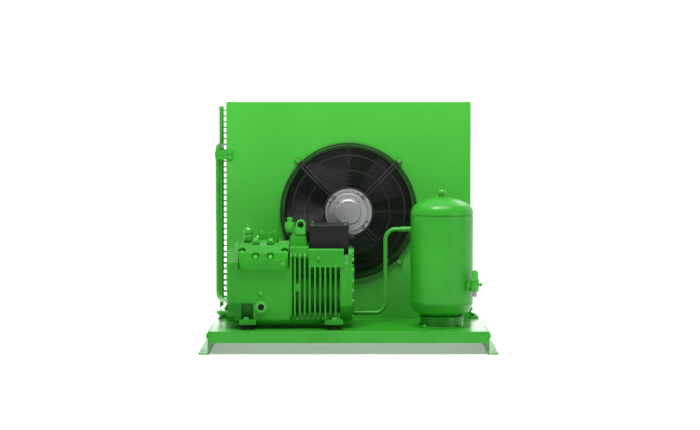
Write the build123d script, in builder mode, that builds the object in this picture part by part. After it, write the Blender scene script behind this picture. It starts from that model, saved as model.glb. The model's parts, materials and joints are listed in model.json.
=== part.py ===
"""Refrigeration condensing unit: base, semi-hermetic compressor, condenser with one fan, and receiver.

Millimetres. X runs along the front rail, the front faces -Y, Z is up, and the origin is on the floor under
the middle.
"""
from build123d import *
from math import asin, cos, radians, sin
import os

os.makedirs("parts", exist_ok=True)

# ---------------------------------------------------------------- driving dimensions
UNIT_DEPTH = 760.0  # front rail to rear rail
TRAY_WIDTH = 958.0
TRAY_TOP = 80.0  # height of the top face above the floor
RAIL_HEIGHT = 40.0
TRAY_SHEET = 3.0
LEG_SHEET = 5.0
FOOT_FLANGE = 32.0
SLOT_WIDTH = 12.0
SLOT_LENGTH = 20.0
SLOT_SPACING_X = 1002.0
SLOT_SPACING_Y = 600.0

PANEL_WIDTH = 882.0
PANEL_TOP = 864.0
PANEL_FRONT = 96.0  # Y of the shroud's front face
PANEL_SHEET = 2.5
PLENUM_DEPTH = 130.0
COIL_DEPTH = 75.0
TUBE_SHEET = 3.0
COIL_HALF_WIDTH = 417.0  # to the tube sheets' outer faces; their flanges reach the panel's edge
HEADER_RADIUS = 8.0
HEADER_X = -467.5
STUB_PITCH = 20.8
STUB_RADIUS = 2.9

FAN_X = 0.0
FAN_Z = 470.0
THROAT_RADIUS = 230.0
THROAT_DEPTH = 60.0
GUARD_RADIUS = 247.0
MOTOR_RING_RADIUS = 83.5
ROTOR_RADIUS = 68.0
BLADE_TIP_RADIUS = 224.0
BLADE_COUNT = 5
SHAFT_RADIUS = 8.0
RUNNING_GAP = 0.05  # radial clearance of every turning fit

COMP_Y = -180.0  # crankshaft axis
COMP_Z = 205.0
COMP_HALF_DEPTH = 115.0
COMP_FRONT = COMP_Y - COMP_HALF_DEPTH
COMP_LEFT = -398.0
BARREL_LEFT = -203.0
BARREL_RIGHT = -29.0
COMP_BOTTOM = 113.0
DECK_EDGE_Z = 285.0
DECK_TILT = 35.0  # cylinder banks, from the vertical
FOOT_X = (-355.0, -51.0)
FOOT_Y = (COMP_Y - 120.5, COMP_Y + 120.5)
DAMPER_HEIGHT = 18.0
FIN_THICK = 6.5

RECEIVER_X = 327.6
RECEIVER_Y = -180.0
RECEIVER_RADIUS = 109.5
RECEIVER_LOW = 161.0  # the two welded seams
RECEIVER_HIGH = 475.0
RECEIVER_WALL = 5.0

HOT_PIPE_RADIUS = 8.0
LIQUID_PIPE_RADIUS = 7.5


def across(x):
    """Sketch plane at x: its own x is +Y, its own y is +Z, and it extrudes towards +X."""
    return Plane.YZ.offset(x)


def facing(y):
    """Sketch plane at y: its own x is +X, its own y is +Z, and it extrudes towards the front, -Y."""
    return Plane.XZ.offset(-y)


def level(z):
    """Sketch plane at height z, which extrudes upwards."""
    return Plane.XY.offset(z)


def upright(x, y):
    """Plane through a vertical axis at x, y, for profiles of radius and height."""
    return Plane(origin=(x, y, 0), x_dir=(1, 0, 0), z_dir=(0, -1, 0))


def looking(point, direction):
    """Plane at a point whose normal is the direction given."""
    return Plane(origin=point, z_dir=direction)


def turned(profile, plane, axis, arc=360):
    """A turned piece: the profile's points are radius and height on the plane given."""
    with BuildPart() as piece:
        with BuildSketch(plane):
            Polygon(*profile)
        revolve(axis=axis, revolution_arc=arc)
    return piece.part


def upright_axis(x, y):
    """Vertical axis through a point on the floor."""
    return Axis((x, y, 0), (0, 0, 1))


def column(profile, x, y):
    """Piece turned about a vertical axis at x, y, from points of radius and height."""
    return turned(profile, upright(x, y), upright_axis(x, y))


def hex_heads(planes, flats, height):
    """Hexagon screw heads, seated on the planes given."""
    head = extrude(RegularPolygon(flats / 2, 6, major_radius=False), height)
    with BuildPart() as heads:
        with Locations(*planes):
            add(head)
    return heads.part


def save(piece, name):
    """Label a finished piece and write it."""
    piece.label = name
    export_step(piece, f"parts/{name}.step")


# ---------------------------------------------------------------- base
with BuildPart() as base_tray:
    with BuildSketch(level(TRAY_TOP - RAIL_HEIGHT)):
        Rectangle(TRAY_WIDTH, UNIT_DEPTH)
    extrude(amount=RAIL_HEIGHT)
    with BuildSketch(level(TRAY_TOP - RAIL_HEIGHT)):
        Rectangle(TRAY_WIDTH - 2 * TRAY_SHEET, UNIT_DEPTH - 2 * TRAY_SHEET)
    extrude(amount=RAIL_HEIGHT - TRAY_SHEET, mode=Mode.SUBTRACT)
    rail_lip = 18.0
    for side in (-1, 1):
        with BuildSketch(level(TRAY_TOP - RAIL_HEIGHT)):
            with Locations((0, side * (UNIT_DEPTH / 2 - TRAY_SHEET - rail_lip / 2))):
                Rectangle(TRAY_WIDTH - 2 * TRAY_SHEET, rail_lip)
        extrude(amount=TRAY_SHEET)
    rails = base_tray.edges().filter_by(Axis.X).group_by(Axis.Z)[-1]
    fillet(rails, TRAY_SHEET - 0.5)
save(base_tray.part, "base_tray")


def leg(side):
    """Z-profile leg: an upright web beside the tray, and a foot flange with two slots for anchor bolts."""
    web_x = side * (TRAY_WIDTH / 2 + LEG_SHEET / 2 + 0.5)
    foot_x = side * (TRAY_WIDTH / 2 + LEG_SHEET + 0.5 + FOOT_FLANGE / 2)
    with BuildPart() as piece:
        with BuildSketch(level(0)):
            with Locations((web_x, 0)):
                Rectangle(LEG_SHEET, UNIT_DEPTH)
        extrude(amount=TRAY_TOP)
        with BuildSketch(level(0)):
            with Locations((foot_x, 0)):
                Rectangle(FOOT_FLANGE, UNIT_DEPTH)
            slot_x = side * SLOT_SPACING_X / 2
            with Locations((slot_x, -SLOT_SPACING_Y / 2), (slot_x, SLOT_SPACING_Y / 2)):
                SlotOverall(SLOT_LENGTH, SLOT_WIDTH, mode=Mode.SUBTRACT)
        extrude(amount=LEG_SHEET)
        foot_corners = piece.edges().filter_by(Axis.Z).group_by(Axis.X)[-1 if side > 0 else 0]
        fillet(foot_corners, 6)
    return piece.part


save(leg(-1), "left_leg")
save(leg(1), "right_leg")

leg_face = TRAY_WIDTH / 2 + LEG_SHEET + 0.5
leg_screw_planes = [
    looking((side * leg_face, y, TRAY_TOP - RAIL_HEIGHT / 2), (side, 0, 0))
    for side in (-1, 1)
    for y in (-320, -110, 110, 320)
]
save(hex_heads(leg_screw_planes, 17, 8), "base_screws")

# ---------------------------------------------------------------- condenser
panel_height = PANEL_TOP - TRAY_TOP
panel_mid = TRAY_TOP + panel_height / 2
coil_front = PANEL_FRONT + PLENUM_DEPTH
coil_back = coil_front + COIL_DEPTH
coil_mid = (coil_front + coil_back) / 2

with BuildPart() as fan_panel:
    with BuildSketch(facing(PANEL_FRONT)):
        with Locations((0, panel_mid)):
            Rectangle(PANEL_WIDTH, panel_height)
    extrude(amount=-PLENUM_DEPTH)
    with BuildSketch(facing(PANEL_FRONT + PANEL_SHEET)):
        with Locations((0, panel_mid)):
            Rectangle(PANEL_WIDTH - 2 * PANEL_SHEET, panel_height - 2 * PANEL_SHEET)
    extrude(amount=-PLENUM_DEPTH, mode=Mode.SUBTRACT)
    with BuildSketch(facing(PANEL_FRONT)):
        with Locations((FAN_X, FAN_Z)):
            Circle(THROAT_RADIUS + PANEL_SHEET)
    extrude(amount=-PANEL_SHEET, mode=Mode.SUBTRACT)
    fillet(fan_panel.edges().filter_by(Axis.Z).group_by(Axis.Y)[0], PANEL_SHEET - 0.5)
save(fan_panel.part, "fan_panel")

fan_axis = Axis((FAN_X, 0, FAN_Z), (0, 1, 0))
fan_plane = Plane(origin=(FAN_X, 0, FAN_Z), x_dir=(1, 0, 0), z_dir=(0, 0, 1))  # radius, then Y

throat_wall = 2.0
throat_outer = THROAT_RADIUS + throat_wall
mouth_lip = 7.0
bell_mouth = turned(
    [
        (throat_outer, PANEL_FRONT + THROAT_DEPTH),
        (throat_outer, PANEL_FRONT - 1.2),
        (throat_outer + mouth_lip, PANEL_FRONT - 1.2),
        (throat_outer + mouth_lip, PANEL_FRONT - 3.5),
        (throat_outer + 1, PANEL_FRONT - 5),
        (THROAT_RADIUS, PANEL_FRONT + 2),
        (THROAT_RADIUS, PANEL_FRONT + THROAT_DEPTH),
    ],
    fan_plane,
    fan_axis,
)
save(bell_mouth, "bell_mouth")


def tube_sheet(side):
    """End plate of the coil: a flat sheet with flanges turned outwards at the front and the back."""
    flange = PANEL_WIDTH / 2 - COIL_HALF_WIDTH
    with BuildPart() as piece:
        with BuildSketch(level(TRAY_TOP)):
            with Locations((side * (COIL_HALF_WIDTH - TUBE_SHEET / 2), coil_mid)):
                Rectangle(TUBE_SHEET, COIL_DEPTH)
            for y in (coil_front + TUBE_SHEET / 2, coil_back - TUBE_SHEET / 2):
                with Locations((side * (COIL_HALF_WIDTH + flange / 2 - TUBE_SHEET / 2), y)):
                    Rectangle(flange + TUBE_SHEET, TUBE_SHEET)
        extrude(amount=panel_height)
    return piece.part


save(tube_sheet(-1), "left_tube_sheet")
save(tube_sheet(1), "right_tube_sheet")

with BuildPart() as fin_pack:
    with BuildSketch(level(TRAY_TOP + 4)):
        with Locations((0, coil_mid)):
            Rectangle(2 * (COIL_HALF_WIDTH - TUBE_SHEET), COIL_DEPTH - 2 * TUBE_SHEET)
    extrude(amount=panel_height - 8)
save(fin_pack.part, "fin_pack")

stub_count = 34
stub_low = TRAY_TOP + 66
comb_heights = [stub_low + STUB_PITCH * i for i in range(stub_count)]
tube_radius = 5.0
row_offset = 14.0


def return_bend():
    """U-bend that joins two neighbouring tubes, lying against the right tube sheet's face."""
    with BuildPart() as piece:
        with BuildLine() as run:
            Line((0, 0, 0), (4, 0, 0))
            ThreePointArc((4, 0, 0), (4 + STUB_PITCH / 2, 0, STUB_PITCH / 2), (4, 0, STUB_PITCH))
            Line((4, 0, STUB_PITCH), (0, 0, STUB_PITCH))
        with BuildSketch(Plane.YZ):
            RegularPolygon(tube_radius, 8)
        sweep()
    return piece.part


bend_places = [
    Location((COIL_HALF_WIDTH, coil_mid + row, stub_low + 2 * STUB_PITCH * i))
    for row in (-row_offset, row_offset)
    for i in range(stub_count // 2)
]
bend = return_bend()
with BuildPart() as return_bends:
    with Locations(*bend_places):
        add(bend)
save(return_bends.part, "return_bends")

header_y = coil_back - 20
header_top = 847.0
gas_header_low = 136.0
stub_reach = -COIL_HALF_WIDTH - HEADER_X


def comb(y, heights):
    """Row of stubs that run from a header into the left tube sheet."""
    stub = extrude(RegularPolygon(STUB_RADIUS, 8), stub_reach)
    starts = [Plane(origin=(HEADER_X, y, z), x_dir=(0, 1, 0), z_dir=(1, 0, 0)) for z in heights]
    with BuildPart() as piece:
        with Locations(*starts):
            add(stub)
    return piece.part


gas_comb = comb(header_y, comb_heights)
with BuildPart() as gas_header:
    with BuildSketch(level(gas_header_low)):
        with Locations((HEADER_X, header_y)):
            Circle(HEADER_RADIUS)
    extrude(amount=header_top - gas_header_low)
    add(gas_comb)
save(gas_header.part, "gas_header")

liquid_header_y = coil_front + 20
liquid_header_top = 330.0
outlet_z = 115.0
liquid_comb = comb(liquid_header_y, [z for z in comb_heights if z < liquid_header_top - 6])
with BuildPart() as liquid_header:
    with BuildSketch(level(outlet_z + 12)):
        with Locations((HEADER_X, liquid_header_y)):
            Circle(HEADER_RADIUS)
    extrude(amount=liquid_header_top - outlet_z - 12)
    add(liquid_comb)
save(liquid_header.part, "liquid_header")


bracket_face = PANEL_WIDTH / 2 + 0.3
bracket_sheet = 4.0
foot_width = 32.0
foot_depth = 60.0


def foot_bracket(side):
    """Angle that ties the condenser's lower corner to the tray: a foot, an upright ear and a gusset."""
    inner = side * bracket_face
    with BuildPart() as piece:
        with BuildSketch(level(TRAY_TOP)):
            with Locations((inner + side * foot_width / 2, PANEL_FRONT + foot_depth / 2)):
                Rectangle(foot_width, foot_depth)
        extrude(amount=bracket_sheet)
        with BuildSketch(level(TRAY_TOP)):
            with Locations((inner + side * bracket_sheet / 2, PANEL_FRONT + foot_depth / 2)):
                Rectangle(bracket_sheet, foot_depth)
        extrude(amount=48)
        with BuildSketch(facing(PANEL_FRONT + foot_depth)):
            outer = inner + side * foot_width
            Polygon(
                (inner, TRAY_TOP),
                (outer, TRAY_TOP),
                (outer, TRAY_TOP + 8),
                (inner + side * bracket_sheet, TRAY_TOP + 20),
                (inner, TRAY_TOP + 20),
            )
        extrude(amount=bracket_sheet)
    return piece.part


save(foot_bracket(-1), "left_foot_bracket")
save(foot_bracket(1), "right_foot_bracket")

bracket_screw_y = PANEL_FRONT + 26
bracket_screw_planes = []
for side in (-1, 1):
    foot_point = (side * (PANEL_WIDTH / 2 + 21), bracket_screw_y, TRAY_TOP + bracket_sheet)
    ear_point = (side * (bracket_face + bracket_sheet), bracket_screw_y, TRAY_TOP + 34)
    bracket_screw_planes.append(looking(foot_point, (0, 0, 1)))
    bracket_screw_planes.append(looking(ear_point, (side, 0, 0)))
save(hex_heads(bracket_screw_planes, 13, 6), "bracket_screws")

# ---------------------------------------------------------------- fan
ring_y = PANEL_FRONT - 12  # front of the guard's outer ring
basket_y = 30.0  # front of the flat part of the basket
basket_radius = 150.0


def hoop(radius, width, front, depth):
    """Ring about the fan's axis, given by its outer radius, its width, its front and its depth."""
    inner = radius - width
    back = front + depth
    return turned([(inner, front), (radius, front), (radius, back), (inner, back)], fan_plane, fan_axis)


def basket_front(radius):
    """Y of the basket's front at a radius: flat in the middle, then sloping back to the outer ring."""
    if radius <= basket_radius:
        return basket_y
    return basket_y + (radius - basket_radius) * (ring_y - basket_y) / (GUARD_RADIUS - basket_radius)


arm_angles = (45, 135, 225, 315)
arm_half_gap = 6.0
arm_wire = 5.0
with BuildPart() as fan_guard:
    add(hoop(GUARD_RADIUS, 6, ring_y, 6))
    add(hoop(205, 4, basket_front(205) + arm_wire, 4))
    add(hoop(basket_radius, 4, basket_y + arm_wire, 4))
    add(hoop(MOTOR_RING_RADIUS + 8, 8, basket_y, 5))
    for angle in arm_angles:
        along = Plane(
            origin=(FAN_X, 0, FAN_Z),
            x_dir=(cos(radians(angle)), 0, sin(radians(angle))),
            z_dir=(-sin(radians(angle)), 0, cos(radians(angle))),
        )
        for gap in (-arm_half_gap, arm_half_gap):
            with BuildSketch(along.offset(gap - arm_wire / 2)):
                Polygon(
                    (MOTOR_RING_RADIUS + 4, basket_y),
                    (basket_radius, basket_y),
                    (GUARD_RADIUS - 1, ring_y),
                    (GUARD_RADIUS - 1, ring_y + arm_wire),
                    (basket_radius, basket_y + arm_wire),
                    (MOTOR_RING_RADIUS + 4, basket_y + arm_wire),
                )
            extrude(amount=arm_wire)
        with BuildSketch(along.offset(-9)):
            Polygon(
                (GUARD_RADIUS - 3, ring_y + 3),
                (GUARD_RADIUS, ring_y + 6),
                (GUARD_RADIUS + 20, ring_y + 6),
                (GUARD_RADIUS + 20, PANEL_FRONT),
                (GUARD_RADIUS - 3, PANEL_FRONT),
            )
        extrude(amount=18)
save(fan_guard.part, "fan_guard")

ear_radius = GUARD_RADIUS + 11
ear_screw_planes = [
    looking(
        (
            FAN_X + ear_radius * cos(radians(angle)),
            ring_y + 6,
            FAN_Z + ear_radius * sin(radians(angle)),
        ),
        (0, -1, 0),
    )
    for angle in arm_angles
]
save(hex_heads(ear_screw_planes, 13, 9), "guard_screws")

stator_front = basket_y + 16
shaft_front = basket_y - 4
rotor_end = 128.0
air_gap = 2.0
can_wall = 6.0
can_bore = ROTOR_RADIUS - can_wall
bearing_bore = SHAFT_RADIUS + RUNNING_GAP
fan_motor = turned(
    [
        (0, basket_y - 22),
        (42, basket_y - 22),
        (46, basket_y - 18),
        (47, basket_y - 9),
        (67, basket_y - 7),
        (69, basket_y - 4),
        (69, basket_y + 1),
        (75, basket_y + 1),
        (75, basket_y - 3),
        (MOTOR_RING_RADIUS, basket_y - 3),
        (MOTOR_RING_RADIUS, basket_y),
        (MOTOR_RING_RADIUS - 1, basket_y + 5),
        (62, basket_y + 5),
        (56, stator_front),
        (can_bore - air_gap, stator_front + 4),
        (can_bore - air_gap, rotor_end - 14),
        (bearing_bore, rotor_end - 14),
        (bearing_bore, shaft_front),
        (0, shaft_front),
    ],
    fan_plane,
    fan_axis,
)
save(fan_motor, "fan_motor")

fan_rotor = turned(
    [
        (0, shaft_front + 2),
        (SHAFT_RADIUS, shaft_front + 2),
        (SHAFT_RADIUS, rotor_end - 8),
        (can_bore, rotor_end - 8),
        (can_bore, stator_front + 6),
        (ROTOR_RADIUS, stator_front + 6),
        (ROTOR_RADIUS, rotor_end - 5),
        (ROTOR_RADIUS - 5, rotor_end),
        (0, rotor_end),
    ],
    fan_plane,
    fan_axis,
)
save(fan_rotor, "fan_rotor")

hub_radius = ROTOR_RADIUS + 5
hub_front = 92.0
hub_back = 124.0
blade_mid = 118.0
blade_thick = 3.0
root_pitch = 40.0
tip_pitch = 20.0
blade_start = 84.0  # degrees round the hub, at the root
blade_span = 49.0
blade_sickle = 5.0  # how far both edges bow back at mid-span


def polar(radius, angle):
    """Point in the fan's plane."""
    return (FAN_X + radius * cos(radians(angle)), FAN_Z + radius * sin(radians(angle)))


def blade_section(radius, pitch, chord):
    """Cambered strip across the blade at a radius, as a pitched arc of even thickness."""
    half = chord / 2
    sag = chord * 0.09
    lean = radians(pitch)
    middle = (FAN_X, blade_mid, FAN_Z + radius)
    with BuildSketch(Plane(origin=middle, x_dir=(cos(lean), sin(lean), 0), z_dir=(0, 0, 1))) as strip:
        with BuildLine():
            ThreePointArc((-half, 0), (0, sag), (half, 0))
            Line((half, 0), (half, -blade_thick))
            ThreePointArc((half, -blade_thick), (0, sag - blade_thick), (-half, -blade_thick))
            Line((-half, -blade_thick), (-half, 0))
        make_face()
    return strip.sketch


with BuildPart() as blade_sheet:
    loft(
        [
            blade_section(hub_radius - 4, root_pitch, 96),
            blade_section(BLADE_TIP_RADIUS + 6, tip_pitch, 250),
        ]
    )
with BuildPart() as blade_outline:
    upright_angle = 90.0
    first = upright_angle - blade_span / 2
    last = upright_angle + blade_span / 2
    tip = BLADE_TIP_RADIUS
    middle = (hub_radius + tip) / 2
    root = hub_radius - 2
    with BuildSketch(facing(PANEL_FRONT + 90)):
        with BuildLine():
            ThreePointArc(polar(root, first), polar(middle, first + blade_sickle), polar(tip, first))
            ThreePointArc(polar(tip, first), polar(tip, upright_angle), polar(tip, last))
            ThreePointArc(polar(tip, last), polar(middle, last + blade_sickle), polar(root, last))
            ThreePointArc(polar(root, last), polar(root, upright_angle), polar(root, first))
        make_face()
    extrude(amount=150)
blade = blade_sheet.part & blade_outline.part

with BuildPart() as fan_impeller:
    add(hoop(hub_radius, hub_radius - ROTOR_RADIUS, hub_front, hub_back - hub_front))
    first_turn = blade_start + blade_span / 2 - upright_angle
    for i in range(BLADE_COUNT):
        add(blade.rotate(fan_axis, -(first_turn + 360 / BLADE_COUNT * i)))
    with BuildSketch(facing(hub_front - 20)):
        with Locations((FAN_X, FAN_Z)):
            Circle(ROTOR_RADIUS)
    extrude(amount=-80, mode=Mode.SUBTRACT)
save(fan_impeller.part, "fan_impeller")

# ---------------------------------------------------------------- compressor
deck_width = 97.0
tilt = radians(DECK_TILT)
shaft_axis = Axis((0, COMP_Y, COMP_Z), (1, 0, 0))
shaft_plane = Plane(origin=(0, COMP_Y, COMP_Z), x_dir=(1, 0, 0), z_dir=(0, -1, 0))  # X, then radius


def bank_point(s, h):
    """Y and Z of a point s up the front cylinder deck and h above it."""
    return (COMP_FRONT + s * cos(tilt) - h * sin(tilt), DECK_EDGE_Z + s * sin(tilt) + h * cos(tilt))


def bank_plane(x, s, h):
    """Plane parallel to the front deck, its normal along the cylinders."""
    y, z = bank_point(s, h)
    return Plane(origin=(x, y, z), x_dir=(1, 0, 0), z_dir=(0, -sin(tilt), cos(tilt)))


comp_mirror = Plane(origin=(0, COMP_Y, 0), z_dir=(0, 1, 0))
crank_s = COMP_HALF_DEPTH * cos(tilt) + (COMP_Z - DECK_EDGE_Z) * sin(tilt)  # bore axes on the deck
bore_x = (-340.0, -262.0)
bore_radius = 28.3
cavity_radius = 78.0
motor_cavity = 84.0
end_wall = 16.0  # rises beside the heads at the bearing end
neck_foot = 366.0  # casting under the suction valve's flange
neck_top = 402.0
hub_top = 409.0  # casting between the two heads
shallow_pocket = 16.0
deep_pocket = 40.0
pocket_height = 57.0
wall_left = -222.0  # wall between crankcase and motor
end_flange_right = 0.0
block_split = -138.0  # between the suction block and the terminal block
core_radius = 92.0
bush_radius = 24.0
journal_radius = 18.0
deck_end = bank_point(deck_width, 0)

tall_fins = (-199.0, -186.0, -169.0, -151.5)
short_fins = (-134.0, -116.0, -98.0, -80.5, -62.5, -44.5)
fin_front = COMP_FRONT
fin_back = 2 * COMP_Y - COMP_FRONT


def section(points, corner=0):
    """Casting section from the front half of its outline, mirrored about the crankshaft."""
    back = [(2 * COMP_Y - y, z) for y, z in reversed(points)]
    outline = Polygon(*points, *back)
    if corner:
        outline = fillet(outline.vertices(), corner)
    return outline


with BuildPart() as compressor_housing:
    with BuildSketch(across(COMP_LEFT)):
        section([(COMP_FRONT + 14, 100), (COMP_FRONT, COMP_BOTTOM), (COMP_FRONT, DECK_EDGE_Z), deck_end])
    extrude(amount=BARREL_LEFT - COMP_LEFT)
    with BuildSketch(across(COMP_LEFT)):
        front = COMP_FRONT
        section([(front, DECK_EDGE_Z - 40), (front, 312), (front + 10, 326), (front + 62, 376)])
    extrude(amount=end_wall)
    with BuildSketch(across(BARREL_LEFT)):
        with Locations((COMP_Y, COMP_Z)):
            Circle(core_radius)
    extrude(amount=BARREL_RIGHT - BARREL_LEFT)
    with BuildSketch(across(BARREL_LEFT)):
        section([(-268, 98), (-283, COMP_BOTTOM), (-250, 140)])
    extrude(amount=BARREL_RIGHT - BARREL_LEFT)
    for x in tall_fins:
        with BuildSketch(across(x - FIN_THICK / 2)):
            section([(fin_front + 22, 104), (fin_front, 128), (fin_front, 334), (fin_front + 14, 348)])
        extrude(amount=FIN_THICK)
    for x in short_fins:
        with BuildSketch(across(x - FIN_THICK / 2)):
            section([(fin_front + 22, 104), (fin_front, 128), (fin_front, 298), (fin_front + 14, 312)])
        extrude(amount=FIN_THICK)
    with BuildSketch(across(BARREL_LEFT)):
        front = fin_front + 9
        section([(-250, 260), (-250, 310), (front, 330), (front, 362), (front + 6, neck_foot)])
    extrude(amount=block_split - BARREL_LEFT)
    with BuildSketch(level(neck_foot)):
        with Locations((-175, COMP_Y - 22)):
            RectangleRounded(66, 92, 10)
    extrude(amount=neck_top - neck_foot, taper=9)
    with BuildSketch(facing(fin_front + 30)):
        with Locations((-177.5, 225)):
            Rectangle(11, 26)
    extrude(amount=30)
    with BuildSketch(across(block_split)):
        front = fin_front + 2
        section([(-250, 250), (-250, 280), (front, 296), (front, 354), (front + 4, 358)])
    extrude(amount=-16 - block_split)
    with BuildSketch(across(BARREL_RIGHT)):
        front = COMP_FRONT + 5
        section([(front + 51, 103), (front, 160), (front, 306), (front + 29, 336)])
    extrude(amount=end_flange_right - BARREL_RIGHT)
    with BuildSketch(level(98)):
        for y in FOOT_Y:
            with Locations((FOOT_X[0] + 6, y), (FOOT_X[1] + 3, y)):
                Rectangle(58, 50)
        with Locations((FOOT_X[1] + 3, COMP_Y)):
            Rectangle(58, 2 * 110)
    extrude(amount=15)
    with BuildSketch(facing(COMP_Y + 60)):
        with Locations((FOOT_X[1] + 3, 118)):
            Rectangle(58, 40)
    extrude(amount=120)
    for side in (-1, 1):
        with BuildSketch(facing(COMP_Y + side * COMP_HALF_DEPTH + 30)):
            with Locations((FOOT_X[1] - 28.5, 139)):
                Rectangle(5, 82)
        extrude(amount=60)
    with BuildSketch(level(COMP_BOTTOM)):
        for side in (-1, 1):
            with Locations((COMP_LEFT + 13, COMP_Y + side * (COMP_HALF_DEPTH - shallow_pocket / 2))):
                Rectangle(26, shallow_pocket)
            with Locations((COMP_LEFT + 47, COMP_Y + side * (COMP_HALF_DEPTH - deep_pocket / 2))):
                Rectangle(42, deep_pocket)
    extrude(amount=pocket_height, mode=Mode.SUBTRACT)
    with BuildSketch(level(335)):
        with Locations((-352, COMP_Y)):
            Circle(13)
    extrude(amount=43)
    with BuildSketch(level(335)):
        with Locations((-281, COMP_Y)):
            RectangleRounded(82, 52, 8)
    extrude(amount=hub_top - 335, taper=7)
    with BuildSketch(across(COMP_LEFT)):
        with Locations((COMP_Y, COMP_Z)):
            Circle(cavity_radius)
    extrude(amount=wall_left - COMP_LEFT, mode=Mode.SUBTRACT)
    with BuildSketch(across(BARREL_LEFT)):
        with Locations((COMP_Y, COMP_Z)):
            Circle(motor_cavity)
    extrude(amount=end_flange_right - BARREL_LEFT, mode=Mode.SUBTRACT)
    with BuildSketch(across(wall_left)):
        with Locations((COMP_Y, COMP_Z)):
            Circle(bush_radius)
    extrude(amount=BARREL_LEFT - wall_left, mode=Mode.SUBTRACT)
    for bank in (False, True):
        for x in bore_x:
            plane = bank_plane(x, crank_s, 0)
            if bank:
                plane = Plane(
                    origin=(x, 2 * COMP_Y - plane.origin.Y, plane.origin.Z),
                    x_dir=(1, 0, 0),
                    z_dir=(0, sin(tilt), cos(tilt)),
                )
            with BuildSketch(plane):
                Circle(bore_radius)
            extrude(amount=-70, mode=Mode.SUBTRACT)
save(compressor_housing.part, "compressor_housing")

# the two cylinder heads on their valve plates
head_left = -380.0
head_right = -209.0
plate_thick = 5.0
seat_height = 40.0
top_seat_height = 58.0
head_screw_flats = 17.0
counterbore = 12.5
low_screws = [(-322.0, 14.0), (-270.0, 14.0)]
end_screws = [(-368.0, 38.0), (-221.0, 38.0)]
top_screws = [(-322.0, 84.0), (-270.0, 84.0)]

with BuildPart() as front_valve_plate:
    with BuildSketch(across(head_left)):
        Polygon(
            bank_point(0, 0),
            bank_point(deck_width, 0),
            bank_point(deck_width, plate_thick),
            bank_point(0, plate_thick),
        )
    extrude(amount=head_right - head_left)

with BuildPart() as front_head:
    with BuildSketch(across(head_left)):
        Polygon(
            bank_point(0, plate_thick),
            bank_point(0, 41.6),
            bank_point(20.5, 58.9),
            bank_point(63.8, 61.5),
            bank_point(78, 44),
            bank_point(deck_width, 44),
            bank_point(deck_width, plate_thick),
        )
    extrude(amount=head_right - head_left)
    lower_corners = front_head.edges().filter_by(
        lambda e: e.geom_type == GeomType.LINE
        and abs((e % 0.5).dot(Vector(0, -sin(tilt), cos(tilt)))) > 0.99
        and abs(e.length - 36.6) < 0.5
    )
    fillet(lower_corners, 16)
    with BuildSketch(across(-309)):
        Polygon(
            bank_point(40, plate_thick + 20),
            bank_point(58, 61.2),
            bank_point(72, 64),
            bank_point(90, 62),
            bank_point(deck_width, 50),
            bank_point(deck_width, plate_thick + 20),
        )
    extrude(amount=26)
    for x, s in top_screws:
        with BuildSketch(bank_plane(x, s, plate_thick + 15)):
            Circle(12.5)
        extrude(amount=top_seat_height - plate_thick - 15)
    for x, s in low_screws + end_screws:
        with BuildSketch(bank_plane(x, s, seat_height)):
            Circle(counterbore)
        extrude(amount=40, mode=Mode.SUBTRACT)

front_screw_planes = [bank_plane(x, s, seat_height) for x, s in low_screws + end_screws]
front_screw_planes += [bank_plane(x, s, top_seat_height) for x, s in top_screws]
front_screws = hex_heads(front_screw_planes, head_screw_flats, 11)
with BuildPart() as head_screws:
    add(front_screws)
    add(mirror(front_screws, about=comp_mirror))
with BuildPart() as valve_plates:
    add(front_valve_plate.part)
    add(mirror(front_valve_plate.part, about=comp_mirror))
save(valve_plates.part, "valve_plates")
save(front_head.part, "front_head")
save(mirror(front_head.part, about=comp_mirror), "rear_head")
save(head_screws.part, "head_screws")

# end covers, screws, plugs and sight glass
cover_thick = 20.0
bearing_boss = 30.0
with BuildPart() as bearing_cover:
    with BuildSketch(across(COMP_LEFT - cover_thick)):
        front = COMP_FRONT + 2
        section([(front + 32, 104), (front, 138), (front, 310), (front + 42, 352)])
    extrude(amount=cover_thick)
    with BuildSketch(across(COMP_LEFT)):
        with Locations((COMP_Y, COMP_Z)):
            Circle(bearing_boss)
    extrude(amount=18)
    with BuildSketch(across(COMP_LEFT - 6)):
        with Locations((COMP_Y, COMP_Z)):
            Circle(bush_radius)
    extrude(amount=24, mode=Mode.SUBTRACT)
    with BuildSketch(level(100)):
        for side in (-1, 1):
            pocket_y = COMP_Y + side * (COMP_HALF_DEPTH - shallow_pocket / 2)
            with Locations((COMP_LEFT - cover_thick / 2, pocket_y)):
                Rectangle(cover_thick, shallow_pocket)
    extrude(amount=COMP_BOTTOM + pocket_height - 100, mode=Mode.SUBTRACT)
save(bearing_cover.part, "bearing_cover")

motor_cover_thick = 20.0
with BuildPart() as motor_cover:
    with BuildSketch(across(end_flange_right)):
        front = COMP_FRONT + 8
        section([(front + 52, 106), (front, 162), (front, 340), (front + 18, 357)])
    extrude(amount=12)
    with BuildSketch(across(end_flange_right + 12)):
        with Locations((COMP_Y, COMP_Z)):
            Circle(88)
    extrude(amount=motor_cover_thick - 12, taper=20)
    with BuildSketch(across(end_flange_right)):
        with Locations((COMP_Y, COMP_Z)):
            Circle(70)
    extrude(amount=9, mode=Mode.SUBTRACT)
save(motor_cover.part, "motor_cover")

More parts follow.
